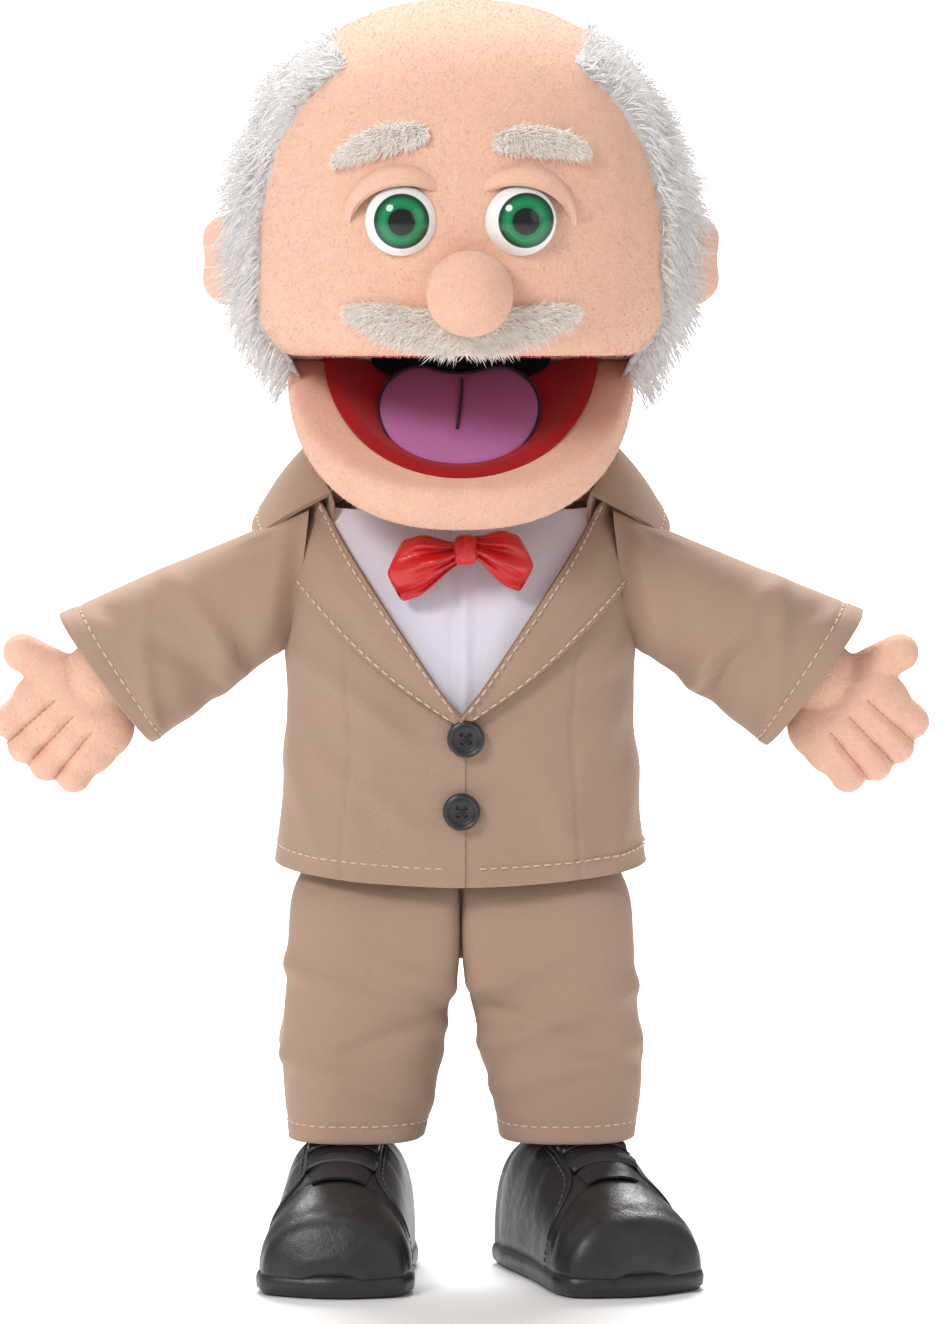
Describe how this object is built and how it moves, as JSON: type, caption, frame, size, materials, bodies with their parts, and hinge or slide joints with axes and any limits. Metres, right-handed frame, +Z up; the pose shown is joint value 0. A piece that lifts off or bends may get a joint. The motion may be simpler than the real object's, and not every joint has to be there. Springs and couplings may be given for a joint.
{
  "type": "ventriloquist dummy",
  "caption": "Soft mouth puppet of a bald old gentleman in a suit, worn on one hand, with a moving mouth and swinging arms and legs.",
  "frame": {"origin": "on the floor under the middle of the puppet's box, with the soles at z = 0", "axes": "+Z up, -Y out of the puppet's front, +X to the viewer's right"},
  "size_m": [0.261, 0.1435, 0.3555],
  "materials": {
    "skin_fleece": "short-pile fleece",
    "foam": "open-cell foam",
    "fur": "long-pile faux fur",
    "brow_fur": "short-pile faux fur",
    "suit_cloth": "tan twill",
    "shirt_cloth": "plain cotton",
    "bow_satin": "glossy satin",
    "lining_cloth": "plain lining",
    "mouth_felt": "red felt on card",
    "tongue_felt": "mauve felt",
    "throat_felt": "black felt",
    "button_plastic": "satin",
    "washer_plastic": "moulded",
    "eye_plastic": "polished dome with a painted iris",
    "shoe_leather": "soft leatherette",
    "sole_rubber": "smooth"
  },
  "bodies": {
    "torso": {"glove_lining_left": "lining_cloth", "glove_lining_right": "lining_cloth", "shirt_front": "shirt_cloth", "jacket_back_left": "suit_cloth", "jacket_back_right": "suit_cloth", "jacket_front_left": "suit_cloth", "jacket_front_right": "suit_cloth", "lapel_left": "suit_cloth", "lapel_right": "suit_cloth", "jacket_collar": "suit_cloth", "bow_tie_left_wing": "bow_satin", "bow_tie_right_wing": "bow_satin", "bow_tie_knot": "bow_satin", "jacket_button_upper": "button_plastic", "jacket_button_lower": "button_plastic", "trouser_waist": "suit_cloth"},
    "neck": {"neck_tube": "skin_fleece"},
    "head": {"head_skin": "skin_fleece", "head_foam_upper": "foam", "head_foam_lower": "foam", "upper_mouth_plate": "mouth_felt", "nose": "skin_fleece", "moustache": "brow_fur", "hair_fringe": "fur", "left_eye": "eye_plastic", "left_eye_washer": "washer_plastic", "left_eyelid": "skin_fleece", "left_eyebrow": "brow_fur", "left_ear": "skin_fleece", "right_eye": "eye_plastic", "right_eye_washer": "washer_plastic", "right_eyelid": "skin_fleece", "right_eyebrow": "brow_fur", "right_ear": "skin_fleece"},
    "jaw": {"lower_jaw": "skin_fleece", "lower_mouth_plate": "mouth_felt", "tongue": "tongue_felt", "throat_patch": "throat_felt"},
    "left_upper_arm": {"left_upper_sleeve": "suit_cloth"},
    "left_forearm": {"left_lower_sleeve": "suit_cloth"},
    "left_hand_body": {"left_hand": "skin_fleece"},
    "left_leg": {"left_trouser_leg": "suit_cloth"},
    "left_foot": {"left_shoe_upper": "shoe_leather", "left_shoe_tongue": "shoe_leather", "left_shoe_sole": "sole_rubber"},
    "right_upper_arm": {"right_upper_sleeve": "suit_cloth"},
    "right_forearm": {"right_lower_sleeve": "suit_cloth"},
    "right_hand_body": {"right_hand": "skin_fleece"},
    "right_leg": {"right_trouser_leg": "suit_cloth"},
    "right_foot": {"right_shoe_upper": "shoe_leather", "right_shoe_tongue": "shoe_leather", "right_shoe_sole": "sole_rubber"}
  },
  "joints": [
    {"name": "neck_turn", "type": "hinge", "parent": "torso", "child": "neck", "pos_m": [0, 0.0278, 0.213], "axis": [0, 0, 1], "range_deg": [-20, 20], "stiffness_Nm_per_rad": 0.05},
    {"name": "head_nod", "type": "hinge", "parent": "neck", "child": "head", "pos_m": [0, 0.0278, 0.236], "axis": [-1, 0, 0], "range_deg": [-3, 20]},
    {"name": "jaw_close", "type": "hinge", "parent": "head", "child": "jaw", "pos_m": [0, 0.0078, 0.256], "axis": [-1, 0, 0], "range_deg": [0, 32]},
    {"name": "left_shoulder_raise", "type": "hinge", "parent": "torso", "child": "left_upper_arm", "pos_m": [-0.05, 0.0058, 0.192], "axis": [0, 1, 0], "range_deg": [-20, 45], "stiffness_Nm_per_rad": 0.08, "springref_deg": 11.46},
    {"name": "left_elbow_bend", "type": "hinge", "parent": "left_upper_arm", "child": "left_forearm", "pos_m": [-0.07572, 0.0058, 0.17861], "axis": [-0.4617, 0, 0.887], "range_deg": [0, 45], "stiffness_Nm_per_rad": 0.02},
    {"name": "left_wrist_bend", "type": "hinge", "parent": "left_forearm", "child": "left_hand_body", "pos_m": [-0.09524, 0.0058, 0.16845], "axis": [-0.4617, 0, 0.887], "range_deg": [-18, 25], "stiffness_Nm_per_rad": 0.01},
    {"name": "left_hip_swing", "type": "hinge", "parent": "torso", "child": "left_leg", "pos_m": [-0.0245, -0.0032, 0.096], "axis": [-1, 0, 0], "range_deg": [-15, 60]},
    {"name": "left_ankle_bend", "type": "hinge", "parent": "left_leg", "child": "left_foot", "pos_m": [-0.0315, -0.0032, 0.0407], "axis": [-1, 0, 0], "range_deg": [-15, 15], "stiffness_Nm_per_rad": 0.04, "springref_deg": 5.73},
    {"name": "right_shoulder_raise", "type": "hinge", "parent": "torso", "child": "right_upper_arm", "pos_m": [0.05, 0.0058, 0.192], "axis": [0, -1, 0], "range_deg": [-20, 45], "stiffness_Nm_per_rad": 0.08, "springref_deg": 11.46},
    {"name": "right_elbow_bend", "type": "hinge", "parent": "right_upper_arm", "child": "right_forearm", "pos_m": [0.07572, 0.0058, 0.17861], "axis": [-0.4617, 0, -0.887], "range_deg": [0, 45], "stiffness_Nm_per_rad": 0.02},
    {"name": "right_wrist_bend", "type": "hinge", "parent": "right_forearm", "child": "right_hand_body", "pos_m": [0.09524, 0.0058, 0.16845], "axis": [-0.4617, 0, -0.887], "range_deg": [-18, 25], "stiffness_Nm_per_rad": 0.01},
    {"name": "right_hip_swing", "type": "hinge", "parent": "torso", "child": "right_leg", "pos_m": [0.0245, -0.0032, 0.096], "axis": [-1, 0, 0], "range_deg": [-15, 60]},
    {"name": "right_ankle_bend", "type": "hinge", "parent": "right_leg", "child": "right_foot", "pos_m": [0.0315, -0.0032, 0.0407], "axis": [-1, 0, 0], "range_deg": [-15, 15], "stiffness_Nm_per_rad": 0.04, "springref_deg": 5.73}
  ]
}
